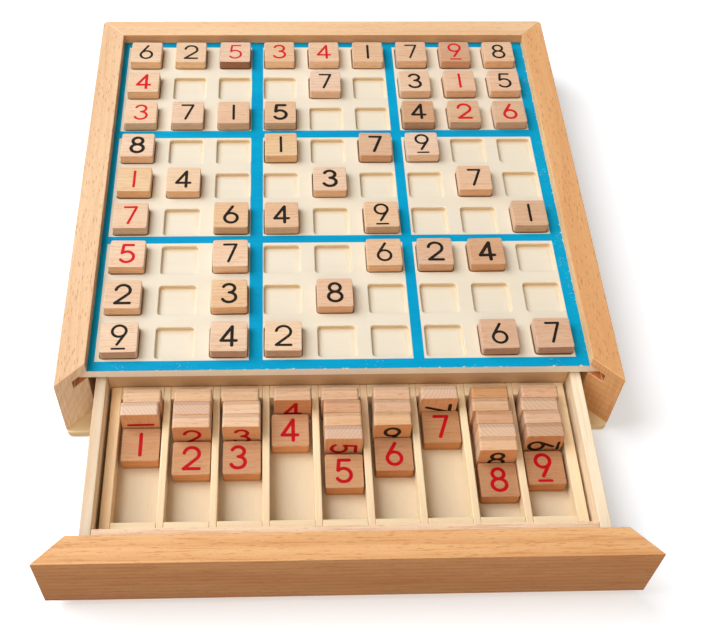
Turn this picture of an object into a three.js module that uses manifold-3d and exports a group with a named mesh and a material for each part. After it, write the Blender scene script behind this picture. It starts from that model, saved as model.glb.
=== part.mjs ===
// Wooden number-placement board with a tile drawer.
//
// A square beech frame holds a board of nine by nine shallow pockets, each for one loose number tile.
// A shallow drawer runs under the board on the base panel. Its front closes the frame's open side with
// two mitres, and its sorting tray has one lane for each of the nine numbers.
//
// Millimetres, +Z up. The origin is the centre of the frame on the base panel's underside, and +Y points
// to the back rail. The drawer stands open, at the full length of its travel.

import * as THREE from 'three';
import { mergeVertices } from 'three/addons/utils/BufferGeometryUtils.js';
import Module from 'manifold-3d';

const wasm = await Module();
wasm.setup();

// Frame
const OUTER = 300;
const RAIL_WIDTH = 14.75;
const RAIL_HEIGHT = 42.4;
const CORNER_RADIUS = 3;
const BASE_THICKNESS = 4.8;
const BASE_FRONT_LIP = 1.3;

// Board and its pockets
const CELLS = 9;
const BOARD_THICKNESS = 5.5;
const BOARD_BELOW_RIM = 7.1;
const GROOVE_DEPTH = 7;
const POCKET_PITCH = 29.5;
const POCKET_SIZE = 21;
const POCKET_DEPTH = 2.3;
const POCKET_CORNER = 2;
const GRID_SHIFT_X = -1;
const GRID_SHIFT_Y = 1.1;

// Number tiles: the tile that lies in each pocket, row by row from the back, with a dot for an empty one
const TILE_SIZE = 20;
const TILE_THICKNESS = 8;
const TILE_CORNER = 1.2;
const TILES_ON_BOARD = [
  '625341798',
  '4...7.315',
  '3715..426',
  '8..1.79..',
  '14..3..7.',
  '7.64.9..1',
  '5.7..624.',
  '2.3.8....',
  '9.42...67',
];

// Drawer and its sorting tray
const DRAWER_TRAVEL = 98.6;
const DRAWER_WIDTH = 262.7;
const DRAWER_HEADROOM = 1.5;
const SIDE_THICKNESS = 5.8;
const WALL_THICKNESS = 10;
const FLOOR_THICKNESS = 3;
const LANE_WIDTH = 22.9;
const LANE_LENGTH = 73.6;
const LANE_DEPTH = 10;
const DIVIDER_THICKNESS = 3.8;
const TRAY_SIDE_BAR = 5.6;
const TRAY_END_BAR = 8;
const TRAY_BELOW_SIDES = 10;

// Gaps: between glued pieces, at the mitres, and where the drawer runs
const GLUE_GAP = 0.2;
const MITRE_GAP = 0.3;
const RUNNING_GAP = 0.3;
const FRONT_GAP = 0.4;

// Heights
const RIM_TOP = BASE_THICKNESS + RAIL_HEIGHT;
const BOARD_TOP = RIM_TOP - BOARD_BELOW_RIM;
const BOARD_BOTTOM = BOARD_TOP - BOARD_THICKNESS;
const DRAWER_BOTTOM = BASE_THICKNESS + RUNNING_GAP;
const DRAWER_TOP = BOARD_BOTTOM - DRAWER_HEADROOM;
const FLOOR_TOP = DRAWER_BOTTOM + FLOOR_THICKNESS;
const TRAY_TOP = DRAWER_TOP - TRAY_BELOW_SIDES;

// Plan lines of the frame
const HALF = OUTER / 2;
const INNER = HALF - RAIL_WIDTH;

const FINISHES = {
  beech: { color: 0xe2b98a, roughness: 0.55 },
  paleWood: { color: 0xf0ddbc, roughness: 0.6 },
  paintedBoard: { color: 0x8fc3cf, roughness: 0.5 },
  tileWood: { color: 0xecc8a4, roughness: 0.5 },
};

/** A named part with a material of its own. */
function part(name, geometry, finish) {
  const material = new THREE.MeshStandardMaterial({ ...FINISHES[finish], metalness: 0 });
  const mesh = new THREE.Mesh(geometry, material);
  mesh.name = name;
  return mesh;
}

/** A box between two limits on each axis. */
function block([x0, x1], [y0, y1], [z0, z1]) {
  const box = new THREE.BoxGeometry(x1 - x0, y1 - y0, z1 - z0);
  return box.translate((x0 + x1) / 2, (y0 + y1) / 2, (z0 + z1) / 2);
}

/** A plan outline raised from one height to another; each round corner gets two segments. */
function prism(outline, [z0, z1]) {
  const shape = outline instanceof THREE.Shape ? outline : new THREE.Shape(outline);
  const solid = new THREE.ExtrudeGeometry(shape, { depth: z1 - z0, bevelEnabled: false, curveSegments: 1 });
  return solid.translate(0, 0, z0);
}

function plan(...points) {
  return points.map(([x, y]) => new THREE.Vector2(x, y));
}

/** A rectangle in plan whose front and back corners have their own radius, square where it is 0. */
function roundedRectangle([x0, x1], [y0, y1], frontRadius, backRadius = frontRadius) {
  const shape = new THREE.Shape();
  const corners = [
    { x: x1, y: y0, toX: -1, toY: 1, radius: frontRadius, start: -Math.PI / 2 },
    { x: x1, y: y1, toX: -1, toY: -1, radius: backRadius, start: 0 },
    { x: x0, y: y1, toX: 1, toY: -1, radius: backRadius, start: Math.PI / 2 },
    { x: x0, y: y0, toX: 1, toY: 1, radius: frontRadius, start: Math.PI },
  ];
  shape.moveTo(x0 + frontRadius, y0);
  for (const { x, y, toX, toY, radius, start } of corners) {
    if (radius > 0) {
      shape.absarc(x + toX * radius, y + toY * radius, radius, start, start + Math.PI / 2);
    } else {
      shape.lineTo(x, y);
    }
  }
  shape.closePath();
  return shape;
}

/** A closed geometry as a solid that can be cut and joined. */
function toSolid(geometry) {
  const bare = geometry.clone();
  bare.deleteAttribute('normal');
  bare.deleteAttribute('uv');
  const merged = mergeVertices(bare);
  return new wasm.Manifold(
    new wasm.Mesh({
      numProp: 3,
      vertProperties: Float32Array.from(merged.attributes.position.array),
      triVerts: Uint32Array.from(merged.index.array),
    }),
  );
}

function toGeometry(solid) {
  const mesh = solid.getMesh();
  const geometry = new THREE.BufferGeometry();
  geometry.setAttribute('position', new THREE.BufferAttribute(mesh.vertProperties, 3));
  geometry.setIndex(new THREE.BufferAttribute(mesh.triVerts, 1));
  geometry.computeVertexNormals();
  return geometry;
}

function cutAway(geometry, cutters) {
  const left = cutters.reduce((solid, cutter) => solid.subtract(toSolid(cutter)), toSolid(geometry));
  return toGeometry(left);
}

/** The centre of each pocket, in the order of the tile list. */
function pocketCentre(row, column) {
  const middle = (CELLS - 1) / 2;
  return {
    x: GRID_SHIFT_X + (column - middle) * POCKET_PITCH,
    y: GRID_SHIFT_Y + (middle - row) * POCKET_PITCH,
  };
}

// ---- Frame: a base panel, three grooved and mitred rails, and the board in their grooves

function basePanel() {
  const outline = roundedRectangle([-HALF, HALF], [-HALF - BASE_FRONT_LIP, HALF], CORNER_RADIUS);
  return part('base_panel', prism(outline, [0, BASE_THICKNESS]), 'paleWood');
}

/** A rail is its mitred plan, rounded at the frame's back corners, less the groove that holds the board. */
function rail(name, outline) {
  const reach = INNER + GROOVE_DEPTH;
  const groove = block([-reach, reach], [-OUTER, reach], [BOARD_BOTTOM - GLUE_GAP, BOARD_TOP + GLUE_GAP]);
  const frameOutline = roundedRectangle([-HALF, HALF], [-HALF, HALF], 0, CORNER_RADIUS);
  const heights = [BASE_THICKNESS, RIM_TOP];
  const rounded = toSolid(prism(outline, heights)).intersect(toSolid(prism(frameOutline, heights)));
  return part(name, toGeometry(rounded.subtract(toSolid(groove))), 'beech');
}

function sideRail(name, side) {
  const corners = [[HALF, -HALF], [HALF, HALF], [INNER, INNER], [INNER, -INNER]];
  const outline = corners.map(([x, y]) => [side * x, y]);
  return rail(name, plan(...(side > 0 ? outline : outline.reverse())));
}

function backRail() {
  const long = HALF - MITRE_GAP;
  const short = INNER - MITRE_GAP;
  return rail('back_rail', plan([-short, INNER], [short, INNER], [long, HALF], [-long, HALF]));
}

function boardPanel() {
  const reach = INNER + GROOVE_DEPTH - MITRE_GAP;
  const panel = block([-reach, reach], [-INNER, reach], [BOARD_BOTTOM, BOARD_TOP]);
  const half = POCKET_SIZE / 2;
  const above = 1;
  const pockets = [];
  for (let row = 0; row < CELLS; row += 1) {
    for (let column = 0; column < CELLS; column += 1) {
      const { x, y } = pocketCentre(row, column);
      const outline = roundedRectangle([x - half, x + half], [y - half, y + half], POCKET_CORNER);
      pockets.push(prism(outline, [BOARD_TOP - POCKET_DEPTH, BOARD_TOP + above]));
    }
  }
  return part('board_panel', cutAway(panel, pockets), 'paintedBoard');
}

// ---- Drawer, laid out as it stands when closed

function drawer() {
  const halfWidth = DRAWER_WIDTH / 2;
  const sideInner = halfWidth - SIDE_THICKNESS;
  const trayHalf = (CELLS * LANE_WIDTH + (CELLS - 1) * DIVIDER_THICKNESS) / 2 + TRAY_SIDE_BAR;
  const trayLength = LANE_LENGTH + 2 * TRAY_END_BAR;

  const frontInner = -INNER - FRONT_GAP;
  const boxFront = frontInner + GLUE_GAP;
  const frontWallBack = boxFront + WALL_THICKNESS;
  const trayFront = frontWallBack + RUNNING_GAP;
  const trayBack = trayFront + trayLength;
  const backWallFront = trayBack + RUNNING_GAP;
  const boxBack = backWallFront + WALL_THICKNESS;

  const wallHeights = [FLOOR_TOP + GLUE_GAP, DRAWER_TOP];
  const betweenSides = [-sideInner + GLUE_GAP, sideInner - GLUE_GAP];

  const frontOutline = plan([-HALF, -HALF], [HALF, -HALF], [INNER, -INNER], [-INNER, -INNER]);
  const front = prism(frontOutline, [DRAWER_BOTTOM, RIM_TOP]).translate(0, -FRONT_GAP, 0);
  const frontWall = block(betweenSides, [boxFront, frontWallBack], wallHeights);
  const backWall = block(betweenSides, [backWallFront, boxBack], wallHeights);
  const leftSide = block([-halfWidth, -sideInner], [boxFront, boxBack], wallHeights);
  const rightSide = block([sideInner, halfWidth], [boxFront, boxBack], wallHeights);
  const floor = block([-halfWidth, halfWidth], [boxFront, boxBack], [DRAWER_BOTTOM, FLOOR_TOP]);

  const trayBlock = block([-trayHalf, trayHalf], [trayFront, trayBack], [FLOOR_TOP + GLUE_GAP, TRAY_TOP]);
  const laneEnds = [trayFront + TRAY_END_BAR, trayBack - TRAY_END_BAR];
  const above = 1;
  const lanes = [];
  for (let lane = 0; lane < CELLS; lane += 1) {
    const left = -trayHalf + TRAY_SIDE_BAR + lane * (LANE_WIDTH + DIVIDER_THICKNESS);
    lanes.push(block([left, left + LANE_WIDTH], laneEnds, [TRAY_TOP - LANE_DEPTH, TRAY_TOP + above]));
  }

  const group = new THREE.Group();
  group.add(
    part('drawer_front', front, 'beech'),
    part('drawer_front_wall', frontWall, 'beech'),
    part('drawer_back_wall', backWall, 'beech'),
    part('drawer_left_side', leftSide, 'paleWood'),
    part('drawer_right_side', rightSide, 'paleWood'),
    part('drawer_floor', floor, 'paleWood'),
    part('sorting_tray', cutAway(trayBlock, lanes), 'paleWood'),
  );
  return group;
}

// ---- Number tiles in the board's pockets

function tile(row, column) {
  const half = TILE_SIZE / 2;
  const outline = roundedRectangle([-half, half], [-half, half], TILE_CORNER);
  const mesh = part(`tile_r${row + 1}c${column + 1}`, prism(outline, [0, TILE_THICKNESS]), 'tileWood');
  const { x, y } = pocketCentre(row, column);
  mesh.position.set(x, y, BOARD_TOP - POCKET_DEPTH + GLUE_GAP);
  return mesh;
}

function tiles() {
  const group = new THREE.Group();
  TILES_ON_BOARD.forEach((line, row) => {
    [...line].forEach((number, column) => {
      if (number !== '.') {
        group.add(tile(row, column));
      }
    });
  });
  return group;
}

const frame = new THREE.Group();
frame.add(
  basePanel(),
  sideRail('left_rail', -1),
  sideRail('right_rail', 1),
  backRail(),
  boardPanel(),
);

const openDrawer = drawer();
openDrawer.position.y = -DRAWER_TRAVEL;

const numberPuzzle = new THREE.Group();
numberPuzzle.add(frame, openDrawer, tiles());

export default numberPuzzle;
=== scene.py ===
"""Looks, light and camera for the wooden number-placement board with a tile drawer.

Lengths here are in millimetres and MM turns them into the frame's metres. The structure is rebuilt on
the CAD's lines with eased edges, and every tile gets its printed numbers. Tints multiply a wood's colour;
many are painted light and shade, and many were set by comparing the render's averages with the
photograph's.
"""

import math
import random

import bmesh
import bpy
from mathutils import Matrix, Vector


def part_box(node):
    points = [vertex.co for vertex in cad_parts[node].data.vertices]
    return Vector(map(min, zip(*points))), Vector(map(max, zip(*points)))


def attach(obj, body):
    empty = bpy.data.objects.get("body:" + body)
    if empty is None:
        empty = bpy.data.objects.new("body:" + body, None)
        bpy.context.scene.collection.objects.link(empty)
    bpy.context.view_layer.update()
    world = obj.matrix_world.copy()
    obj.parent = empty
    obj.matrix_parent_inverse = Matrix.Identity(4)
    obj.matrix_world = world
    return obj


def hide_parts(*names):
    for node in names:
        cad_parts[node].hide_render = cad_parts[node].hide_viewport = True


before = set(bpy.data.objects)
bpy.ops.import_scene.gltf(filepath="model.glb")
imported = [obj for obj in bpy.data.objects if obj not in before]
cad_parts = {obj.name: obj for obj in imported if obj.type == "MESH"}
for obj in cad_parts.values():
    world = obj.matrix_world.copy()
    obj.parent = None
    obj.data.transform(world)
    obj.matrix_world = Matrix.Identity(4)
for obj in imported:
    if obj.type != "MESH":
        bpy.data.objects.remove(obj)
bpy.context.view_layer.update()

MM = 0.001
SEED = random.Random(4127)
SAME = (1, 1, 1)  # a tint that changes nothing


def span(node):
    """A CAD node's limits in millimetres: ((x0, x1), (y0, y1), (z0, z1))."""
    low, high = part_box(node)
    return tuple((round(a / MM, 3), round(b / MM, 3)) for a, b in zip(low, high))


# Frame and board
OUTER, (RAIL_BOTTOM, RIM_TOP) = span("right_rail")[0][1], span("right_rail")[2]
INNER = span("right_rail")[0][0]
CORNER_RADIUS = 3
MITRE_GAP = 0.06
GROOVE_DEPTH = 7
GROOVE_PLAY = 0.2
(BOARD_X0, BOARD_X1), (BOARD_Y0, BOARD_Y1), (BOARD_BOTTOM, BOARD_TOP) = span("board_panel")
GROOVE_BOTTOM, GROOVE_TOP = BOARD_BOTTOM - GROOVE_PLAY, BOARD_TOP + GROOVE_PLAY
BOARD_EASE = 0.3
CELLS = 9
PITCH, POCKET, POCKET_DEPTH, POCKET_CORNER = 29.5, 21, 2.3, 2
GRID_X, GRID_Y = -1, 1.1  # the middle of the grid of pockets
# Painted shade in a pocket, darker and browner towards its far wall: from this far before it, over this
# length, down to this depth
POCKET_SHADE_FROM, POCKET_SHADE_REACH, POCKET_SHADE_DEPTH = 4, 3.5, 2.1

# Painted lines: the limits of the nine pale blocks
BLOCKS_X = [(-131.8, -49.1), (-41.5, 40.0), (46.0, 128.5)]
BLOCKS_Y = [(-129.0, -45.4), (-39.9, 42.7), (49.1, 130.8)]

# Sorting tray: LANE_0 is the left side of its first lane
LANE_WIDTH, LANE_PITCH, LANE_0 = 22.9, 26.7, -118.25
LANE_FRONT, LANE_BACK, LANE_FLOOR = -215.75, -142.15, 13.1

# Tiles
TILE, TILE_THICKNESS, TILE_CORNER, EASE = 20, 8, 1.2, 0.36
FOOT, FOOT_FADE = 2, 0.6  # the lower part of a tile's sides, darkened as painted shade where it sits, and where that ends
# Each tile on the board: number, red (r) or black (k), weight of the print (1 thin to 4 bold), and tone of
# the wood: pale, tan, warm, rose or dark, and a capital where the sides show dark heartwood. The drawer
# has orange and brown tiles too.
ROWS = [
    "6k2p 2k2p 5r1P 3r2w 4r2w 1k2w 7k1w 9r2d 8k2w",
    "4r3p .    .    .    7k2p .    3k3p 1r2w 5k2w",
    "3r2p 7k2p 1k2w 5k4w .    .    4k3d 2r3r 6r3r",
    "8k4p .    .    1k2t .    7k3r 9k2p .    .   ",
    "1r2t 4k3p .    .    3k4p .    .    7k2w .   ",
    "7r2p .    6k3t 4k3w .    9k2w .    .    1k2r",
    "5r3p .    7k2p .    .    6k2w 2k3r 4k4d .   ",
    "2k3p .    3k3t .    8k3w .    .    .    .   ",
    "9k2p .    4k3p 2k2p .    .    .    6k2r 7k2r",
]
TONES = {
    "p": (1.0, 1.0, 1.0),
    "t": (0.97, 0.92, 0.8),
    "w": (0.95, 0.89, 0.82),
    "r": (0.86, 0.78, 0.72),
    "d": (0.8, 0.66, 0.56),
    "o": (0.73, 0.55, 0.4),
    "b": (0.62, 0.44, 0.3),
}
SPARE = 5  # the weight of the prints in the drawer
STROKES = {1: 1.35, 2: 1.6, 3: 1.85, 4: 2.1, SPARE: 2.0}  # the width of a print's line by its weight
SIDES = (1.07, 0.96, 0.84)  # how a tile's sides differ from its printed faces
HEARTWOOD = (0.45, 0.28, 0.2)  # and how they do where they are dark
LIT_LEFT_SIDE = (1.12, 1.28, 1.42)  # and its left side on the board, lighter with painted light
LIT_REAR_ROW, SHADED_FRONT_ROW = (1.14, 1.21, 1.27), (0.8, 0.71, 0.71)  # and its front in these rows: painted light in the rear row and painted shade in the front row

# The drawer's tiles. Each lane's standing ones, rear to front: tone, a quarter turn (q) or none (n), and
# offset in tenths of a millimetre. Then the colour and turn of the front one's number, the gap before the
# flat tile, its offset and its print's.
LANES = [
    ("pn+10 pq+0", "r", 90, 0.8, 0.5, 0),
    ("wn+13 pq+10 wn+10", "r", 0, 1.4, 0.85, 0),
    ("rn-2 pn+6 pn+5", "r", 0, 1.3, 0.6, -1.9),
    ("rn+10", "r", 0, 1.1, -0.45, -0.2),
    ("rn-3 dn+7 tn+6 pq+8", "r", -90, 2.2, 0.7, -0.3),
    ("rn+9 rn+8 tn+2", "k", 180, 0.5, 0.7, 0.1),
    ("pq-3", "k", -90, 0.1, 0.85, 0),
    ("on+3 rn-2 dn+12 pq+13 tn+9", "k", 0, 0.6, 0.95, 0),
    ("rn+6 rq-6 rn-2 rq+1", "k", 90, 1.9, -0.3, -0.9),
]
REAR_GAP, STANDING_GAP = 0.35, 0.06  # behind a lane's standing tiles, and between them
ORANGE_LANES = 5  # the flat tiles in the first lanes are orange, and the others are brown
# face is painted shade, darker and warmer, as in the narrow lanes; sides undo most of it on the tiles'
# edges
STANDING_LOOK = {"face": (0.97, 0.73, 0.54), "sides": (1.03, 1.33, 1.71), "foot_shade": 0.8}
FLAT_LOOK = {"sides": (1.25, 1.06, 0.86), "foot_shade": 0.8}

# ---- Materials


def linear(r, g, b, light=1.12):
    """The surface colour that shows as this 8-bit colour under the studio light."""
    channels = [c / 255 for c in (r, g, b)]
    channels = [c / 12.92 if c <= 0.04045 else ((c + 0.055) / 1.055) ** 2.4 for c in channels]
    return (*[c / light for c in channels], 1)


class Tree:
    """A material's node tree, with short calls for the nodes used here."""

    def __init__(self, name):
        self.material = bpy.data.materials.new(name)
        self.material.use_nodes = True
        self.nodes = self.material.node_tree.nodes
        self.links = self.material.node_tree.links
        self.nodes.clear()
        self.shader = self.nodes.new("ShaderNodeBsdfPrincipled")
        output = self.nodes.new("ShaderNodeOutputMaterial")
        self.links.new(self.shader.outputs[0], output.inputs[0])

    def put(self, socket, value):
        if isinstance(value, bpy.types.NodeSocket):
            self.links.new(value, socket)
        else:
            socket.default_value = value

    def add(self, kind, values=(), **settings):
        node = self.nodes.new("ShaderNode" + kind)
        for key, value in settings.items():
            setattr(node, key, value)
        for key, value in dict(values).items():
            self.put(node.inputs[key], value)
        return node

    def math(self, operation, a, b):
        return self.add("Math", {0: a, 1: b}, operation=operation).outputs[0]

    def times(self, a, b):
        return self.math("MULTIPLY", a, b)

    def plus(self, a, b):
        return self.math("ADD", a, b)

    def vector(self, operation, a, b):
        return self.add("VectorMath", {0: a, 1: b}, operation=operation).outputs[0]

    def fade(self, value, low, high):
        """0 below low and 1 above high, smooth between; low may be the larger of the two."""
        node = self.add("MapRange", {0: value, 1: low, 2: high}, interpolation_type="SMOOTHSTEP")
        return node.outputs[0]

    def mix(self, factor, a, b, blend="MIX"):
        node = self.add("Mix", data_type="RGBA", blend_type=blend)
        self.put(node.inputs[0], factor)
        self.put(node.inputs[6], a)
        self.put(node.inputs[7], b)
        return node.outputs[2]

    def noise(self, point, scale, detail=2.0, roughness=0.5):
        """Noise with this many cells to the millimetre along each axis."""
        vector = self.vector("MULTIPLY", point, scale)
        values = {"Vector": vector, "Scale": 1.0, "Detail": detail, "Roughness": roughness}
        return self.add("TexNoise", values).outputs[0]

    def pores(self, point, scale, size):
        """Short dark dashes along the grain, one in each cell of this scale."""
        vector = self.vector("MULTIPLY", point, scale)
        distance = self.add("TexVoronoi", {"Vector": vector, "Scale": 1.0}).outputs[0]
        return self.fade(distance, size, size * 0.4)

    def attribute(self, name, output="Fac"):
        return self.add("Attribute", attribute_name=name).outputs[output]

    def place(self, along="X"):
        """Object coordinates in millimetres with the grain along X, moved by each piece's own shift."""
        turn = (0, 0, -math.pi / 2) if along == "Y" else (0, 0, 0)
        scaled = self.add(
            "Mapping",
            {"Vector": self.add("TexCoord").outputs["Object"], "Rotation": turn, "Scale": (1 / MM,) * 3},
        ).outputs[0]
        return self.vector("ADD", scaled, self.attribute("shift", "Vector"))

    def finish(self, colour, roughness, height=None, relief=0.1, specular=0.22):
        """Sets the shader's colour, roughness, gloss and bump, whose relief is in millimetres."""
        self.put(self.shader.inputs["Base Color"], colour)
        self.put(self.shader.inputs["Specular IOR Level"], specular)
        self.put(self.shader.inputs["Roughness"], roughness)
        if height is not None:
            values = {"Strength": 0.2, "Distance": relief * MM, "Height": height}
            self.put(self.shader.inputs["Normal"], self.add("Bump", values).outputs[0])
        return self.material


def wood(
    name, colours, along, ring, contrast, lines, pores,
    streaks=0.0, pith=150, end_lines=0.1, saw_marks=0.0,
):
    """Wood with its rings, fibres and pores in three dimensions, the grain along one axis.

    colours are early wood, late wood, and the faces cut across the grain. ring is the width of a year
    ring in millimetres, lines and end_lines are how much the rings show, and pith is how far off they
    start. The face attributes cut and wear_and_highlight mark the faces across the grain and the eased
    edges, which are lighter with wear and with a painted highlight.
    """
    light, dark, end = colours
    t = Tree(name)
    point = t.place(along)
    # Year rings that sway along the board, and fibres
    sway = t.noise(point, (0.006, 0.03, 0.03), 1.0)
    offset = t.add("CombineXYZ", {1: t.times(sway, 11.0), 2: t.times(sway, 8.0)})
    swayed = t.vector("ADD", t.vector("ADD", point, offset.outputs[0]), (0, pith, pith * 0.73))
    rings = t.add(
        "TexWave",
        {"Vector": swayed, "Scale": math.tau / 20 / ring, "Distortion": 0.0},
        wave_type="RINGS",
        rings_direction="X",
        wave_profile="SAW",
    ).outputs[1]
    late = t.fade(rings, 0.3, 1.0)
    broad = t.noise(point, (0.009, 0.08, 0.08), 2.0)
    fibre = t.noise(point, (0.07, 2.1, 2.1), 3.0, 0.6)
    shade = t.plus(t.times(late, 0.42 * lines), t.times(fibre, 0.6))
    shade = t.plus(shade, t.times(broad, 0.7))
    middle = 0.65 + 0.2 * lines
    shade = t.fade(shade, middle - 0.5, middle + 0.5)
    colour = t.mix(t.times(shade, contrast), light, dark)
    # Pores, and darker streaks
    long_pores = t.pores(point, (0.1, 0.95, 0.95), 0.27)
    short_pores = t.pores(point, (0.3, 2.1, 2.1), 0.24)
    pore = t.math("MAXIMUM", long_pores, short_pores)
    colour = t.mix(t.times(pore, pores), colour, dark_of(dark))
    if streaks:
        streak = t.fade(t.noise(point, (0.03, 1.0, 1.0), 3.0, 0.6), 0.52, 0.66)
        colour = t.mix(t.times(streak, streaks), colour, dark)
    # Faces across the grain, and the eased edges, lighter with wear and a painted highlight
    dots = t.noise(point, (0.8, 3.2, 3.2), 2.0)
    grainy = t.mix(t.times(t.fade(dots, 0.42, 0.7), 0.22), end, dark)
    grainy = t.mix(t.times(late, end_lines), grainy, dark)
    if saw_marks:
        marks = t.fade(t.noise(point, (3.0, 0.0, 0.05), 1.0), 0.42, 0.62)
        grainy = t.mix(t.times(marks, saw_marks), grainy, dark)
    colour = t.mix(t.times(t.attribute("cut"), 0.85), colour, grainy)
    wear_and_highlight = t.times(t.attribute("wear_and_highlight"), t.fade(broad, 0.3, 0.62))
    colour = t.mix(t.times(wear_and_highlight, 0.35), colour, light)
    colour = t.mix(1.0, colour, t.attribute("tint", "Color"), "MULTIPLY")
    height = t.math("SUBTRACT", t.times(fibre, 0.6), pore)
    rough = t.plus(t.times(fibre, 0.18), 0.46)
    return t.finish(colour, rough, height, relief=0.08)


def dark_of(colour):
    """The brown of a pore in wood of this colour."""
    r, g, b, _ = colour
    return (r * 0.68, g * 0.52, b * 0.42, 1)


def blue_paint(name, pale):
    """The painted lines: satin blue that shows the board where it is chipped along the outer edges."""
    t = Tree(name)
    point = t.place()
    axes = t.add("SeparateXYZ", {0: point}).outputs
    # Chips: a ragged outer edge, specks near it, and short scratches in clusters
    front = t.math("SUBTRACT", axes[1], BOARD_Y0)
    right = t.math("SUBTRACT", INNER, axes[0])
    edge = t.math("MINIMUM", front, right)
    rough_line = t.noise(point, (0.35, 0.35, 0), 4.0, 0.7)
    reach = t.times(t.fade(rough_line, 0.55, 0.78), 2.2)
    chip = t.fade(t.math("SUBTRACT", reach, edge), 0.0, 0.12)
    speck = t.fade(t.noise(point, (0.9, 0.9, 0), 3.0, 0.65), 0.72, 0.75)
    speck = t.times(speck, t.fade(edge, 9.0, 2.0))
    chip = t.math("MAXIMUM", chip, t.times(speck, 0.8))
    turned = t.add("Mapping", {"Vector": point, "Rotation": (0, 0, 0.35)}).outputs[0]
    scratch = t.pores(turned, (0.32, 1.9, 0), 0.2)
    cluster = t.fade(t.noise(point, (0.04, 0.06, 0), 2.0), 0.53, 0.62)
    scratch = t.times(t.times(scratch, cluster), t.fade(edge, 9.0, 5.0))
    chip = t.math("MAXIMUM", chip, t.times(scratch, 0.65))
    # The paint's own unevenness
    cloud = t.noise(point, (0.02, 0.06, 0.06), 3.0)
    grain = t.noise(point, (0.1, 1.8, 1.8), 3.0)
    tone = t.plus(t.times(cloud, 0.6), t.times(grain, 0.4))
    blue = t.mix(t.fade(tone, 0.3, 0.7), linear(0, 153, 205), linear(0, 168, 216))
    colour = t.mix(chip, blue, pale)
    rough = t.plus(t.times(grain, 0.15), 0.38)
    return t.finish(colour, rough, t.math("SUBTRACT", grain, chip), relief=0.08, specular=0.08)


def ink(name, colour, thin):
    """Printed ink: a little uneven, with the wood's fibres showing through."""
    t = Tree(name)
    point = t.place()
    fibre = t.noise(point, (0.9, 3.2, 3.2), 3.0, 0.6)
    patch = t.noise(point, (0.25, 0.3, 0.3), 2.0)
    bare = t.times(t.fade(fibre, 0.6, 0.8), t.fade(patch, 0.5, 0.75))
    shown = t.mix(t.times(bare, 0.6), t.mix(patch, colour, thin), linear(226, 172, 128))
    rough = t.plus(t.times(fibre, 0.2), 0.4)
    return t.finish(shown, rough, fibre, relief=0.05, specular=0.12)


BEECH_END = linear(253, 226, 196)
BEECH = linear(250, 204, 152), linear(212, 144, 84), BEECH_END
DULL_BEECH = linear(226, 196, 158), linear(196, 152, 110), BEECH_END
TILE_BEECH = linear(240, 217, 193), linear(220, 167, 126), linear(226, 208, 195)
PALE_LIGHT, PALE_DARK = linear(252, 236, 204), linear(236, 196, 142)
PALE = PALE_LIGHT, PALE_DARK, PALE_DARK
PINE = PALE_LIGHT, linear(230, 188, 132), PALE_DARK
LINING = linear(250, 232, 200), linear(238, 208, 162), PALE_DARK
PLY = linear(253, 238, 204), linear(240, 210, 154), PALE_DARK
BOARD = linear(237, 231, 216), linear(228, 213, 183), linear(243, 226, 190)

# After the colours: the grain's axis, ring width, contrast, ring lines, pores and streaks
MATERIALS = {
    "beech_x": wood("beech_x", BEECH, "X", 3.3, 0.7, 0.6, 0.5, 0.55),
    "beech_y": wood(
        "beech_y", BEECH, "Y", 4.5, 0.55, 0.35, 0.65, 0.15, end_lines=0.2, saw_marks=0.35
    ),
    "beech_back": wood("beech_back", BEECH, "X", 7, 0.5, 0.3, 0.35, 0.1),
    "plain": wood("beech_plain", DULL_BEECH, "X", 9, 0.5, 0.2, 0.15),
    "tile": wood("tile_beech", TILE_BEECH, "X", 1.9, 0.62, 0.45, 0.45, 0.3, pith=60, end_lines=0.5),
    "pine": wood("pale_pine", PINE, "Y", 4.2, 0.55, 1.0, 0.1, 0.3),
    "tray": wood("pale_tray", PALE, "Y", 3.4, 0.5, 0.5, 0.1, 0.2),
    "tray_x": wood("pale_tray_x", PALE, "X", 3.4, 0.5, 0.5, 0.1),
    "lining": wood("pale_lining", LINING, "Y", 5, 0.4, 0.15, 0.1),
    "ply": wood("pale_ply", PLY, "X", 5.0, 0.5, 0.3, 0.1),
    "board": wood("board_ply", BOARD, "X", 6, 0.4, 0.2, 0.05),
    "blue": blue_paint("blue_paint", linear(244, 232, 206)),
    "red": ink("red_ink", linear(206, 18, 34), linear(218, 38, 44)),
    "bold_red": ink("bold_red_ink", linear(182, 2, 22), linear(196, 14, 28)),
    "black": ink("black_ink", linear(26, 22, 20), linear(46, 38, 34)),
}

# ---- Meshes


def layers(bm):
    """The mesh's own attributes: edges and cut faces for the woods, place in the grain, and a tint for tone
    and for painted light and shade.
    """
    return {
        "wear_and_highlight": bm.faces.layers.float.get("wear_and_highlight") or bm.faces.layers.float.new("wear_and_highlight"),
        "cut": bm.faces.layers.float.get("cut") or bm.faces.layers.float.new("cut"),
        "shift": bm.verts.layers.float_vector.get("shift") or bm.verts.layers.float_vector.new("shift"),
        "tint": bm.verts.layers.float_color.get("tint") or bm.verts.layers.float_color.new("tint"),
    }


def dress(bm, tint=SAME, shift=None):
    """Gives a mesh its own place in the grain, at random unless it is given, and a tint: its own tone, and
    on some pieces painted light and shade too.
    """
    shift = shift or [SEED.uniform(-2000, 2000), SEED.uniform(-22, 22), SEED.uniform(-22, 22)]
    marks = layers(bm)
    for v in bm.verts:
        v[marks["shift"]] = shift
        v[marks["tint"]] = (*tint, 1)
    return bm


def tint_plane(bm, normal, level, factor, reach=0.01):
    """Tones the corners of the flat face in one plane, or within reach of it. Edges fade to it."""
    tint = layers(bm)["tint"]
    for v in bm.verts:
        if abs(v.co.dot(Vector(normal)) / MM - level) < reach:
            v[tint] = (*[a * b for a, b in zip(v[tint], factor)], 1)


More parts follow.
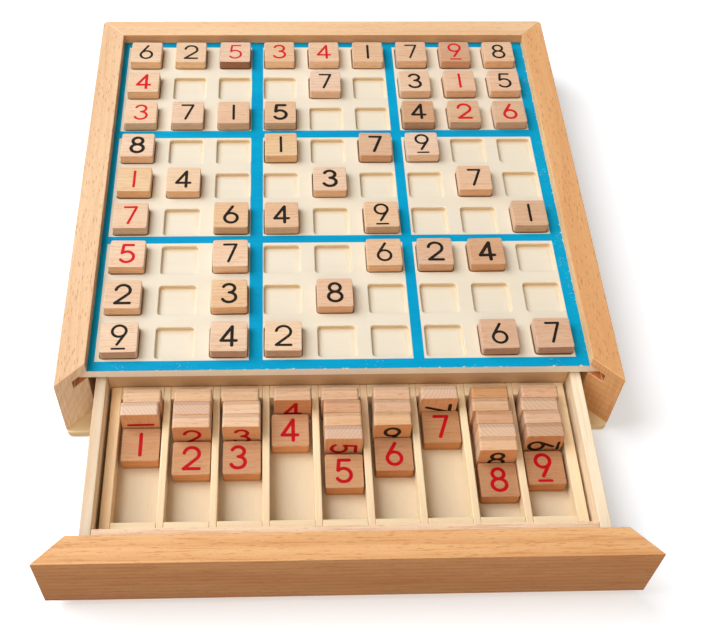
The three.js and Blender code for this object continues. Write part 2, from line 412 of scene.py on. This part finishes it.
def solid(*cells):
    """One closed mesh from upright prisms (outline, bottom, top) that share whole faces."""
    bm = bmesh.new()
    layers(bm)
    verts, loops = {}, {}

    def vert(x, y, z):
        key = (round(x, 4), round(y, 4), round(z, 4))
        if key not in verts:
            verts[key] = bm.verts.new(Vector(key) * MM)
        return verts[key]

    for outline, bottom, top in cells:
        low = [vert(x, y, bottom) for x, y in outline]
        high = [vert(x, y, top) for x, y in outline]
        following = list(range(1, len(low))) + [0]
        sides = [(low[i], low[j], high[j], high[i]) for i, j in enumerate(following)]
        for loop in [tuple(reversed(low)), tuple(high), *sides]:
            key = frozenset(loop)
            if loops.pop(key, None) is None:
                loops[key] = loop
    for loop in loops.values():
        bm.faces.new(loop)
    bmesh.ops.recalc_face_normals(bm, faces=bm.faces)
    flat = math.radians(0.5)
    bmesh.ops.dissolve_limit(bm, angle_limit=flat, verts=bm.verts[:], edges=bm.edges[:])
    return bm


def ease(bm, width, segments=3, across=None):
    """Rounds the sharp edges. across(normal) tells the faces that cut the grain."""
    marks = layers(bm)
    for face in bm.faces:
        face[marks["cut"]] = 1.0 if across and across(face.normal) else 0.0
    bend = math.radians(25)
    sharp = [e for e in bm.edges if len(e.link_faces) == 2 and e.calc_face_angle() > bend]
    made = bmesh.ops.bevel(
        bm,
        geom=sharp,
        offset=width * MM,
        offset_type="OFFSET",
        segments=segments,
        profile=0.5,
        affect="EDGES",
        clamp_overlap=True,
    )
    # the eased faces get wear and a painted highlight
    for face in made["faces"]:
        face[marks["wear_and_highlight"]] = 1.0
    return bm


def rectangle(x, y):
    return [(x[0], y[0]), (x[1], y[0]), (x[1], y[1]), (x[0], y[1])]


def arc(cx, cy, rx, ry, start, end, steps):
    """Points on an arc of a circle or an ellipse, in degrees."""
    angles = [math.radians(start + (end - start) * i / steps) for i in range(steps + 1)]
    return [(cx + rx * math.cos(a), cy + ry * math.sin(a)) for a in angles]


def round_rectangle(x, y, radius, steps=5):
    """A rectangle's outline with round corners, from the front right corner round to the left."""
    corners = [(x[1], y[0], -90), (x[1], y[1], 0), (x[0], y[1], 90), (x[0], y[0], 180)]
    points = []
    for cx, cy, start in corners:
        inward_x = cx - radius if cx == x[1] else cx + radius
        inward_y = cy - radius if cy == y[1] else cy + radius
        points += arc(inward_x, inward_y, radius, radius, start, start + 90, steps)
    return points


def joined(parts):
    """One mesh of several, each with its own grain and tone."""
    whole = bmesh.new()
    layers(whole)
    for part in parts:
        mesh = bpy.data.meshes.new("part")
        part.to_mesh(mesh)
        part.free()
        whole.from_mesh(mesh)
        bpy.data.meshes.remove(mesh)
    return whole


def settle(bm):
    """Puts edges and faces in one order, because some mesh operators leave them in any."""
    bm.verts.index_update()
    for sequence in (bm.edges, bm.faces):
        order = sorted(sequence, key=lambda part: sorted(v.index for v in part.verts))
        rank = {part: i for i, part in enumerate(order)}
        sequence.sort(key=rank.get)


def piece(name, bm, body, slot, materials, *nodes, place=None):
    """A finished piece that rides on a body and stands for CAD nodes."""
    settle(bm)
    mesh = bpy.data.meshes.new(name)
    bm.to_mesh(mesh)
    bm.free()
    for material in materials:
        mesh.materials.append(MATERIALS[material])
    made = bpy.data.objects.new(name, mesh)
    bpy.context.scene.collection.objects.link(made)
    if place:
        made.matrix_world = place
    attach(made, body)
    if nodes:
        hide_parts(*nodes)
    return made


def across_x(normal):
    """Whether a face cuts grain that runs along X."""
    return abs(normal.x) > 0.6


def across_y(normal):
    """Whether a face cuts grain that runs along Y."""
    return abs(normal.y) > 0.6


# ---- Frame


def rail_cells(outside, inside):
    """A rail's cells: outside the groove at three heights, and inside it below and above."""
    heights = [RAIL_BOTTOM, GROOVE_BOTTOM, GROOVE_TOP, RIM_TOP]
    cells = [(outside, a, b) for a, b in zip(heights, heights[1:])]
    return cells + [(inside, heights[0], heights[1]), (inside, heights[2], heights[3])]


def side_rail(side):
    """The left rail (-1) or the right one (1), mitred at both ends and rounded at the rear corner."""

    def turned(points):
        return [(side * (INNER + u), y) for u, y in points]

    width = OUTER - INNER
    middle = OUTER - CORNER_RADIUS
    corner = [(x - INNER, y) for x, y in arc(middle, middle, CORNER_RADIUS, CORNER_RADIUS, 0, 45, 4)]
    reach = INNER + GROOVE_DEPTH
    outside = turned([(GROOVE_DEPTH, -reach), (width, -OUTER), *corner, (GROOVE_DEPTH, reach)])
    inside = turned([(0, -INNER), (GROOVE_DEPTH, -reach), (GROOVE_DEPTH, reach), (0, INNER)])
    return rail_cells(outside, inside)


def back_rail():
    """The back rail, a hair shorter than the mitres of the side rails."""
    middle = OUTER - CORNER_RADIUS
    reach = INNER + GROOVE_DEPTH
    start = 45 + math.degrees(math.asin(MITRE_GAP / (CORNER_RADIUS * math.sqrt(2))))
    right = arc(middle, middle, CORNER_RADIUS, CORNER_RADIUS, start, 90, 4)
    left = [(-x, y) for x, y in reversed(right)]
    outside = [(reach - MITRE_GAP, reach), *right, *left, (MITRE_GAP - reach, reach)]
    short = INNER - MITRE_GAP
    inside = [(short, INNER), (reach - MITRE_GAP, reach), (MITRE_GAP - reach, reach), (-short, INNER)]
    return rail_cells(outside, inside)


def build_frame():
    """The three fixed rails and the base. A rail's inner face, groove and mitre are tinted: painted shade
    on the left rail's inner face and in the grooves, painted light on the right rail's inner face.
    """
    # Each rail's tint is partly its wood's tone and partly painted light, paler on the left and darker on
    # the right
    for name, side, tint, inner, mitre in (
        ("left", -1, (0.95, 1.09, 1.36), (0.8, 0.7, 0.6), (1.18, 1.2, 1.1)),
        ("right", 1, (0.9, 0.84, 0.78), (1.25, 1.5, 1.65), (0.97, 0.84, 0.62)),
    ):
        bm = dress(ease(solid(*side_rail(side)), 0.45, 3, across_y), tint)
        # painted shade on the left rail's inner face and painted light on the right rail's
        tint_plane(bm, (side, 0, 0), INNER, inner)
        # painted shade in the groove, on its back and bottom
        tint_plane(bm, (side, 0, 0), INNER + GROOVE_DEPTH, (0.45, 0.38, 0.32))
        tint_plane(bm, (0, 0, 1), GROOVE_BOTTOM, (0.72, 0.42, 0.28))
        tint_plane(bm, (side, 1, 0), 0, mitre)
        piece(f"{name}_rail_eased", bm, "frame", "frame_beech", ["beech_y"], f"{name}_rail")
    bm = dress(ease(solid(*back_rail()), 0.45, 3, across_x), (0.98, 1.13, 1.36))
    # painted shade on the back rail's inner face
    tint_plane(bm, (0, 1, 0), INNER, (0.97, 0.76, 0.6))
    piece("back_rail_eased", bm, "frame", "frame_beech", ["beech_back"], "back_rail")
    x, y, z = span("base_panel")
    bm = dress(ease(solid((round_rectangle(x, y, CORNER_RADIUS), *z)), 0.5), (1, 0.99, 0.94))
    piece("base_panel_eased", bm, "frame", "pale_ply", ["ply"], "base_panel")


# ---- Board


# A pocket's rings below the cell's square edge: how far outside the pocket's line, and height from the
# board's top. They are the eased rim, the wall, its soft fillet, and two on the floor for painted shade.
POCKET_PROFILE = [
    (0.55, 0),
    (0.28, -0.06),
    (0.08, -0.21),
    (0, -0.48),
    (-0.05, -1.8),
    (-0.16, -2.15),
    (-0.5, -POCKET_DEPTH),
    (-1.9, -POCKET_DEPTH),
    (-3.8, -POCKET_DEPTH),
]
RIM_BANDS, WALL_BANDS = (1, 2), (3, 4, 5, 6)  # the bands between rings that get wear and a painted highlight, and the ones cut across


def pocket_ring(cx, cy, grow, steps=4):
    """A pocket's outline, grown or shrunk."""
    half = POCKET / 2 + grow
    radius = max(POCKET_CORNER + grow, 0.4)
    return round_rectangle((cx - half, cx + half), (cy - half, cy + half), radius, steps)


def cell_ring(cx, cy, steps=4):
    """The cell's square edge, point for point with the pocket's outline."""
    half, flat = PITCH / 2, POCKET / 2 - POCKET_CORNER
    points = []
    for sx, sy, first_x in ((1, -1, True), (1, 1, False), (-1, 1, True), (-1, -1, False)):
        walk = []
        for i in range(steps + 1):
            part = 2 * i / steps
            along = flat + (half - flat) * min(part, 1)
            back = flat + (half - flat) * min(2 - part, 1)
            walk.append((along, back))
        for a, b in walk:
            px, py = (a, b) if first_x else (b, a)
            points.append((cx + sx * px, cy + sy * py))
    return points


def pockets(bm):
    """The board's top: a square cell round each pocket, joined to its neighbours."""
    marks = layers(bm)
    middle = (CELLS - 1) // 2
    for row in range(CELLS):
        for column in range(CELLS):
            cx, cy = GRID_X + (column - middle) * PITCH, GRID_Y + (middle - row) * PITCH
            rings = [(cell_ring(cx, cy), BOARD_TOP)]
            rings += [(pocket_ring(cx, cy, grow), BOARD_TOP + drop) for grow, drop in POCKET_PROFILE]
            made = [[bm.verts.new(Vector((x, y, z)) * MM) for x, y in ring] for ring, z in rings]
            for k, (outer, inner) in enumerate(zip(made, made[1:])):
                for i in range(len(outer)):
                    j = (i + 1) % len(outer)
                    face = bm.faces.new((outer[i], outer[j], inner[j], inner[i]))
                    face[marks["wear_and_highlight"]] = 1.0 if k in RIM_BANDS else 0.0
                    face[marks["cut"]] = 1.0 if k in WALL_BANDS else 0.0
            bm.faces.new(made[-1])
    bmesh.ops.remove_doubles(bm, verts=bm.verts[:], dist=1e-5)


def grow_rim(bm):
    """Pulls new edges out of the open rim and gives their points."""
    rim = [e for e in bm.edges if e.is_boundary]
    made = bmesh.ops.extrude_edge_only(bm, edges=rim)["geom"]
    return [g for g in made if isinstance(g, bmesh.types.BMVert)]


def margin_and_sides(bm):
    """Widens the grid of cells to the board's edges, and closes the board below it."""
    half = CELLS / 2 * PITCH
    near = 1e-6
    low_x, high_x = (GRID_X - half) * MM, (GRID_X + half) * MM
    low_y, high_y = (GRID_Y - half) * MM, (GRID_Y + half) * MM
    for v in grow_rim(bm):
        v.co.x = BOARD_X0 * MM if abs(v.co.x - low_x) < near else v.co.x
        v.co.x = BOARD_X1 * MM if abs(v.co.x - high_x) < near else v.co.x
        v.co.y = BOARD_Y0 * MM if abs(v.co.y - low_y) < near else v.co.y
        v.co.y = BOARD_Y1 * MM if abs(v.co.y - high_y) < near else v.co.y
    for drop in (BOARD_EASE, BOARD_TOP - BOARD_BOTTOM):
        for v in grow_rim(bm):
            v.co.z = BOARD_TOP * MM - drop * MM
    bmesh.ops.contextual_create(bm, geom=[e for e in bm.edges if e.is_boundary])


def paint_lines(bm):
    """Cuts the top along the painted lines and gives them the second material."""
    lines = [(Vector((x, 0, 0)), Vector((1, 0, 0))) for pair in BLOCKS_X for x in pair]
    lines += [(Vector((0, y, 0)), Vector((0, 1, 0))) for pair in BLOCKS_Y for y in pair]
    for point, normal in lines:
        geometry = bm.verts[:] + bm.edges[:] + bm.faces[:]
        bmesh.ops.bisect_plane(bm, geom=geometry, plane_co=point * MM, plane_no=normal, dist=1e-7)
    bmesh.ops.recalc_face_normals(bm, faces=bm.faces)
    for face in bm.faces:
        centre = face.calc_center_median() / MM
        on_top = face.normal.z > 0.99 and centre.z > BOARD_TOP - 0.03
        pale = any(a < centre.x < b for a, b in BLOCKS_X) and any(a < centre.y < b for a, b in BLOCKS_Y)
        face.material_index = 1 if on_top and not pale else 0


def shade_pockets(bm):
    """Paints shade on each pocket's far wall and on the floor along it, browner towards the wall, as in
    the photograph.
    """
    tint = layers(bm)["tint"]
    for v in bm.verts:
        depth = BOARD_TOP - v.co.z / MM
        row = (v.co.y / MM - GRID_Y) / PITCH
        behind = (row - round(row)) * PITCH - (POCKET / 2 - POCKET_SHADE_FROM)
        if 0.4 < depth < POCKET_DEPTH + 0.01 and behind > 0:
            shade = min(behind / POCKET_SHADE_REACH, 1) ** 1.5 * min(depth / POCKET_SHADE_DEPTH, 1)
            v[tint] = (*[1 - loss * shade for loss in (0.16, 0.29, 0.43)], 1)


def board():
    """The board with its pockets and painted lines.

    It isn't shifted in the grain, because the paint's chips are placed from its front and right edges.
    """
    bm = bmesh.new()
    pockets(bm)
    margin_and_sides(bm)
    paint_lines(bm)
    dress(bm, SAME, (0, 0, 0))
    # painted light: the board's front edge is lighter
    tint_plane(bm, (0, 1, 0), BOARD_Y0, (1.25, 1.3, 1.42))
    shade_pockets(bm)
    return bm


def build_board():
    piece("board_panel_painted", board(), "frame", "painted_board", ["board", "blue"], "board_panel")


# ---- Drawer


def box_of(x, y, z, width, segments, across=None, tint=SAME):
    """A plain strip of wood with edges eased by this width."""
    return dress(ease(solid((rectangle(x, y), *z)), width, segments, across), tint)


def build_drawer_box():
    """The drawer's mitred front, its walls, sides and floor."""
    x, y, z = span("drawer_front")
    mitre = y[1] - y[0]
    outline = [(x[0], y[0]), (x[1], y[0]), (x[1] - mitre, y[1]), (x[0] + mitre, y[1])]
    bm = dress(ease(solid((outline, *z)), 0.5, 3), (0.92, 0.89, 0.83))
    # painted shade on the front's face
    tint_plane(bm, (0, 1, 0), y[0], (0.89, 0.86, 0.92))
    shaded_lower_edge = y[0] + z[0] + 0.3  # a slanted plane through the front's eased lower edge, darkened there as painted shade
    tint_plane(bm, (0, 1, 1), shaded_lower_edge, (0.81, 0.79, 0.79), 0.25)
    piece("drawer_front_eased", bm, "drawer", "drawer_beech", ["beech_x"], "drawer_front")
    for node, material, tint in (
        ("drawer_front_wall", "beech_x", (1.13, 1.45, 2.1)),
        ("drawer_back_wall", "plain", SAME),
    ):
        bm = box_of(*span(node), 0.4, 2, across_x, tint)
        piece(f"{node}_eased", bm, "drawer", "drawer_beech", [material], node)
    for node, tint in (
        ("drawer_left_side", (0.85, 0.84, 0.9)),
        ("drawer_right_side", (1.05, 1.07, 1.15)),
    ):
        bm = box_of(*span(node), 0.5, 3, across_y, tint)
        if node == "drawer_left_side":
            # painted light: the left side's inner face is lighter
            tint_plane(bm, (1, 0, 0), span(node)[0][1], (1.3, 1.4, 1.45))
        piece(f"{node}_eased", bm, "drawer", "pale_pine", ["pine"], node)
    bm = box_of(*span("drawer_floor"), 0.3, 2)
    piece("drawer_floor_eased", bm, "drawer", "pale_ply", ["ply"], "drawer_floor")


def build_tray():
    """The loose tray: a floor, a strip on each side of every lane, and a block at each lane's ends."""
    x, y, (bottom, top) = span("sorting_tray")
    above = (LANE_FLOOR, top)
    # the tray floor is darker as painted shade of the lanes
    plate = box_of(x, y, (bottom, LANE_FLOOR), 0.2, 1, tint=(0.82, 0.82, 0.85))
    piece("tray_floor", plate, "drawer", "pale_ply", ["lining"])
    lefts = [LANE_0 + lane * LANE_PITCH for lane in range(len(LANES))]
    bars = [(x[0], LANE_0)]
    bars += [(LANE_0 + LANE_WIDTH + i * LANE_PITCH, left) for i, left in enumerate(lefts[1:])]
    bars += [(lefts[-1] + LANE_WIDTH, x[1])]
    strips = []
    for bar in bars:
        tone = SEED.uniform(0.95, 1.02)
        # the first strip is lighter and warmer, as painted light in the left side's shade
        tint = (1.08, 0.97, 0.87) if bar is bars[0] else (1, tone, tone * 0.97)
        strips.append(box_of(bar, y, above, 0.55, 3, across_y, tint))
    piece("tray_strips", joined(strips), "drawer", "pale_ply", ["tray"], "sorting_tray")
    blocks = []
    for left in lefts:
        for ends in ((y[0], LANE_FRONT), (LANE_BACK, y[1])):
            tone = SEED.uniform(0.94, 1.02)
            tint = (1, tone, tone * 0.96)
            blocks.append(box_of((left, left + LANE_WIDTH), ends, above, 0.45, 3, across_x, tint))
    piece("tray_blocks", joined(blocks), "drawer", "pale_ply", ["tray_x"])


# ---- Numbers

CAP = 6.35  # half the height of a number's centre line
INK = 0.05  # thickness of the ink, most of it sunk in the wood
INK_RISE, INK_STEP = 0.015, 0.006  # how far it stands out, and how much more each further stroke does
UNDERLINE = 0.8  # a nine's underline is this much thinner than its other strokes


def curve(cx, cy, rx, ry, start, end):
    """A curved stroke of a number, with a point about every 11 degrees."""
    return arc(cx, cy, rx, ry, start, end, max(6, round(abs(end - start) / 11)))


SIX_RING = curve(0, -2.6, 3.75, 3.75, 0, 360)
SIX_STEM = [(0.75, CAP), (-3.2, -0.66)]
NUMBERS = {
    "1": [[(0, CAP), (0, -CAP)]],
    "2": [curve(0.1, 2.5, 3.95, 3.85, 172, -43) + [(-3.9, -CAP)], [(-3.9, -CAP), (4.2, -CAP)]],
    "3": [curve(-0.1, 3.4, 3.25, 2.95, 158, -88), curve(-0.1, -2.95, 3.8, 3.4, 88, -158)],
    "4": [[(1.75, CAP), (1.75, -CAP)], [(1.75, CAP), (-4.1, -3.1)], [(-4.1, -3.1), (4.1, -3.1)]],
    "5": [[(3.1, CAP), (-2.3, CAP)], [(-2.3, CAP), (-2.95, 0.35)], curve(-0.1, -2.45, 3.9, 3.9, 134, -148)],
    "6": [SIX_RING, SIX_STEM],
    "7": [[(-3.5, CAP), (3.4, CAP)], [(3.4, CAP), (-1.1, -CAP)]],
    "8": [curve(0, 3.4, 3.05, 2.95, 0, 360), curve(0, -2.95, 3.75, 3.4, 0, 360)],
    "9": [
        [(-x, 1.3 - y) for x, y in SIX_RING],
        [(-x, 1.3 - y) for x, y in SIX_STEM],
        [(-3.3, -7.8), (3.3, -7.8)],
    ],
}


def ribbon(bm, path, width, height, index):
    """A stroke with round ends, or a closed ring, as a flat layer of ink with its top at this height."""
    closed = len(path) > 3 and math.dist(path[0], path[-1]) < 1e-6
    points = [Vector(p) for p in (path[:-1] if closed else path)]
    count = len(points)
    left, right = [], []
    for i, point in enumerate(points):
        before = points[i - 1] if closed or i else point
        after = points[(i + 1) % count] if closed or i < count - 1 else point
        direction = (after - before).normalized()
        side = Vector((-direction.y, direction.x)) * width / 2
        left.append(point + side)
        right.append(point - side)

    def vert(p):
        return bm.verts.new(Vector((p.x, p.y, height - INK)) * MM)

    left, right = [vert(p) for p in left], [vert(p) for p in right]
    faces = []
    for i in range(count if closed else count - 1):
        j = (i + 1) % count
        faces.append(bm.faces.new((right[i], right[j], left[j], left[i])))
    for end, other in () if closed else ((0, 1), (count - 1, count - 2)):
        out = math.atan2(*(points[end] - points[other]).yx)
        cap = [
            vert(points[end] + Vector((math.cos(a), math.sin(a))) * width / 2)
            for a in (out + math.radians(t) for t in (-60, -30, 0, 30, 60))
        ]
        first, last = (left[end], right[end]) if end == 0 else (right[end], left[end])
        faces.append(bm.faces.new((first, *cap, last)))
    made = bmesh.ops.extrude_face_region(bm, geom=faces, use_keep_orig=True)["geom"]
    raised = [g for g in made if isinstance(g, bmesh.types.BMVert)]
    for v in raised:
        v.co.z += INK * MM
    shell = list(dict.fromkeys([*faces, *(face for v in raised for face in v.link_faces)]))
    bmesh.ops.recalc_face_normals(bm, faces=shell)
    for face in shell:
        face.material_index = index


def tile_mesh(number, up, width, nudge):
    """A tile on its own origin, at the middle of its underside, with its number on both faces."""
    bm = bmesh.new()
    marks = layers(bm)
    half = TILE / 2
    round_off = EASE * 0.29  # the middle of a quarter circle
    edge = [(EASE, 0), (round_off, round_off), (0, EASE)]
    profile = [*edge, (0, FOOT), (0, FOOT + FOOT_FADE)]
    profile += [(inset, TILE_THICKNESS - z) for inset, z in reversed(edge)]
    side_bands = (2, 3, 4)  # the bands between rings that aren't eased edges
    rings = []
    for inset, z in profile:
        size = (inset - half, half - inset)
        outline = round_rectangle(size, size, TILE_CORNER - inset * 0.8, 4)
        rings.append([bm.verts.new(Vector((x, y, z)) * MM) for x, y in outline])
    for k, (low, high) in enumerate(zip(rings, rings[1:])):
        for i in range(len(low)):
            j = (i + 1) % len(low)
            face = bm.faces.new((low[i], low[j], high[j], high[i]))
            # eased edges get wear and a painted highlight
            face[marks["wear_and_highlight"]] = 0.0 if k in side_bands else 1.0
    bm.faces.new(reversed(rings[0]))
    bm.faces.new(rings[-1])
    bm.normal_update()
    for face in bm.faces:
        face[marks["cut"]] = 1.0 if abs(face.normal.x) > 0.7 else 0.0
    above_colour, below_colour = (1, 2) if up == "r" else (2, 1)
    for layer, path in enumerate(NUMBERS[number]):
        line = width * (UNDERLINE if number == "9" and layer == 2 else 1)
        path = [(x + nudge, y) for x, y in path]
        lift = INK_RISE + INK_STEP * layer
        ribbon(bm, path, line, TILE_THICKNESS + lift, above_colour)
        below = bmesh.new()
        ribbon(below, path, line, lift, below_colour)
        below.transform(Matrix.Rotation(math.pi, 4, "Y"))
        mesh = bpy.data.meshes.new("below")
        below.to_mesh(mesh)
        below.free()
        bm.from_mesh(mesh)
        bpy.data.meshes.remove(mesh)
    return bm


def put_tile(
    name, number, up, weight, tone, place, body, *nodes,
    face=SAME, sides=SIDES, left=SAME, front=SAME, foot_shade=0.42, nudge=0,
):
    """A printed tile. Beech varies from tile to tile, so each tone does a little too.

    face, sides, left and front tone those faces further; the left and front tones are painted light and
    shade, and so is the standing tiles' face tone. foot_shade paints shade on the sides' lower part, and
    nudge moves the print sideways.
    """
    bm = tile_mesh(number, up, STROKES[weight], nudge)
    tint = Vector(TONES[tone.lower()]) * SEED.uniform(0.97, 1.02)
    spread = (1, SEED.uniform(0.98, 1.01), SEED.uniform(0.95, 1.03))
    dress(bm, [a * b * c for a, b, c in zip(tint, spread, face)])
    deep = SEED.uniform(0.86, 1.06)
    varied = sides[0] * deep**0.5, sides[1] * deep, sides[2] * deep**1.5
    sides = HEARTWOOD if tone.isupper() else varied
    for level in (FOOT + FOOT_FADE, TILE_THICKNESS - EASE):
        tint_plane(bm, (0, 0, 1), level, sides)
    # painted shade on the sides' lower part
    for level in (EASE, FOOT):
        tint_plane(bm, (0, 0, 1), level, [c * foot_shade for c in sides])
    tint_plane(bm, (1, 0, 0), -TILE / 2, left)
    tint_plane(bm, (0, 1, 0), -TILE / 2, front)
    red = "bold_red" if weight == SPARE else "red"
    piece(name, bm, body, "tile_beech", ["tile", red, "black"], *nodes, place=place)


def at(x, y, z, turn=0.0):
    """A place in millimetres, turned about the vertical in degrees."""
    return Matrix.Translation(Vector((x, y, z)) * MM) @ Matrix.Rotation(math.radians(turn), 4, "Z")


def build_board_tiles():
    """One tile for each tile node, a little loose in its pocket."""
    for row, line in enumerate(ROWS):
        for column, entry in enumerate(line.split()):
            if entry == ".":
                continue
            node = f"tile_r{row + 1}c{column + 1}"
            x, y, z = span(node)
            play = SEED.uniform(-0.2, 0.2), SEED.uniform(-0.2, 0.2)
            place = at(sum(x) / 2 + play[0], sum(y) / 2 + play[1], z[0], SEED.uniform(-1, 1))
            number, up, weight, tone = entry
            # painted light on the rear row's fronts and painted shade on the front row's
            rows = {0: LIT_REAR_ROW if tone in "pw" else SAME, CELLS - 1: SHADED_FRONT_ROW}
            look = {"left": LIT_LEFT_SIDE, "front": rows.get(row, SAME)}
            put_tile(f"{node}_printed", number, up, int(weight), tone, place, node, node, **look)


def build_drawer_tiles():
    """The spare tiles: a row on edge at each lane's rear, and one that lies flat in front of it."""
    for lane, (standing, up, turn, gap, shift, nudge) in enumerate(LANES):
        number = str(lane + 1)
        centre = LANE_0 + LANE_WIDTH / 2 + lane * LANE_PITCH
        back = LANE_BACK - REAR_GAP
        tiles = standing.split()
        for i, entry in enumerate(tiles):
            front = i == len(tiles) - 1
            angle = turn if front else 90 * (entry[1] == "q")
            stand = Matrix.Rotation(math.pi / 2, 4, "X") @ Matrix.Rotation(math.radians(angle), 4, "Z")
            x = centre + int(entry[2:]) / 10
            place = at(x, back, LANE_FLOOR + TILE / 2, SEED.uniform(-0.4, 0.4)) @ stand
            side = up if front else "r"
            label = f"lane{number}_standing{i + 1}"
            put_tile(label, number, side, SPARE, entry[0], place, "drawer", **STANDING_LOOK)
            back = back - TILE_THICKNESS - STANDING_GAP
        place = at(centre + shift, back - gap - TILE / 2, LANE_FLOOR)
        tone = "o" if lane < ORANGE_LANES else "b"
        label = f"lane{number}_flat"
        put_tile(label, number, "r", SPARE, tone, place, "drawer", nudge=nudge, **FLAT_LOOK)


# ---- Stage


def backdrop():
    """A white floor and a round wall. Only the camera sees them, so they don't light the wood."""
    radius, sides, height = 6, 64, 7
    t = Tree("studio_white")
    t.finish((0.89, 0.92, 0.97, 1), 0.9)
    t.put(t.shader.inputs["Emission Color"], (0.82, 0.93, 1, 1))
    place = t.vector("MULTIPLY", t.add("TexCoord").outputs["Object"], (1, 1, 0))
    away = t.add("VectorMath", {0: place}, operation="LENGTH").outputs["Value"]
    near, far = (0.45, 0.34), (1.8, 1.1)  # distance from the middle in metres, and the glow there
    values = {0: away, 1: near[0], 2: far[0], 3: near[1], 4: far[1]}
    t.put(t.shader.inputs["Emission Strength"], t.add("MapRange", values).outputs[0])
    angles = [math.tau * i / sides for i in range(sides)]
    ring = [(radius * math.cos(a), radius * math.sin(a)) for a in angles]
    around = [(i, (i + 1) % sides, sides + (i + 1) % sides, sides + i) for i in range(sides)]
    for name, heights, faces in (("floor", (0,), [range(sides)]), ("wall", (0, height), around)):
        mesh = bpy.data.meshes.new(name)
        mesh.from_pydata([(x, y, z) for z in heights for x, y in ring], [], [tuple(f) for f in faces])
        mesh.materials.append(t.material)
        made = bpy.data.objects.new(name, mesh)
        bpy.context.scene.collection.objects.link(made)
        made.visible_diffuse = made.visible_glossy = False
        made.visible_shadow = name == "floor"


def sky():
    """The room's own light: warm from below, where it comes off the table, and paler from above."""
    world = bpy.data.worlds.new("studio")
    bpy.context.scene.world = world
    world.use_nodes = True
    nodes, links = world.node_tree.nodes, world.node_tree.links
    height = nodes.new("ShaderNodeSeparateXYZ")
    links.new(nodes.new("ShaderNodeTexCoord").outputs["Generated"], height.inputs[0])
    ramp = nodes.new("ShaderNodeValToRGB")
    below, above = ramp.color_ramp.elements
    below.position, below.color = 0.42, (0.5, 0.37, 0.28, 1)
    above.position, above.color = 0.58, (0.28, 0.235, 0.2, 1)
    rise = nodes.new("ShaderNodeMapRange")
    rise.inputs["From Min"].default_value = -1
    links.new(height.outputs["Z"], rise.inputs["Value"])
    links.new(rise.outputs[0], ramp.inputs[0])
    links.new(ramp.outputs[0], nodes["Background"].inputs["Color"])


def lights():
    """A large softbox behind the board on the left, and a warm reflector in front."""
    lamps = (
        ("softbox", 1.8, 58, (0.97, 0.985, 1.0), (-1.35, 0.4, 1.75)),
        ("reflector", 1.8, 22.5, (1.0, 0.84, 0.67), (-0.2, -1.9, 1.5)),
    )
    for name, size, energy, colour, place in lamps:
        light = bpy.data.lights.new(name, "AREA")
        light.shape = "SQUARE"
        light.size, light.energy, light.color = size, energy, colour
        lamp = bpy.data.objects.new(name, light)
        lamp.location = place
        lamp.rotation_mode = "QUATERNION"
        lamp.rotation_quaternion = (-lamp.location).to_track_quat("-Z", "Y")
        bpy.context.scene.collection.objects.link(lamp)


def camera():
    """The photograph's camera, as fitted to points of the board, in its pixels and in radians."""
    width, height, focal, centre_x, centre_y = 703, 638, 1089.89, 315.28, 331.62
    sensor = 36
    pitch, yaw, roll = 0.9315, 0.0549, 0.0341
    eye = Vector((-32.33, -467.22, 520.81)) * MM
    forward = Vector((math.sin(yaw) * math.cos(pitch), math.cos(yaw) * math.cos(pitch), -math.sin(pitch)))
    right = Vector((math.cos(yaw), -math.sin(yaw), 0))
    up = right.cross(forward)
    across = right * math.cos(roll) + up * math.sin(roll)
    upward = up * math.cos(roll) - right * math.sin(roll)
    data = bpy.data.cameras.new("camera")
    data.sensor_width = sensor
    data.lens = focal / width * sensor
    data.shift_x, data.shift_y = (width / 2 - centre_x) / width, (centre_y - height / 2) / width
    data.clip_start, data.clip_end = 0.01, 20
    made = bpy.data.objects.new("camera", data)
    turn = Matrix((across, upward, -forward)).transposed().to_4x4()
    made.matrix_world = Matrix.Translation(eye) @ turn
    bpy.context.scene.collection.objects.link(made)
    bpy.context.scene.camera = made
    bpy.context.scene.view_settings.view_transform = "Standard"
    bpy.context.scene.view_settings.look = "None"


camera()
backdrop()
sky()
lights()
build_frame()
build_board()
build_drawer_box()
build_tray()
build_board_tiles()
build_drawer_tiles()
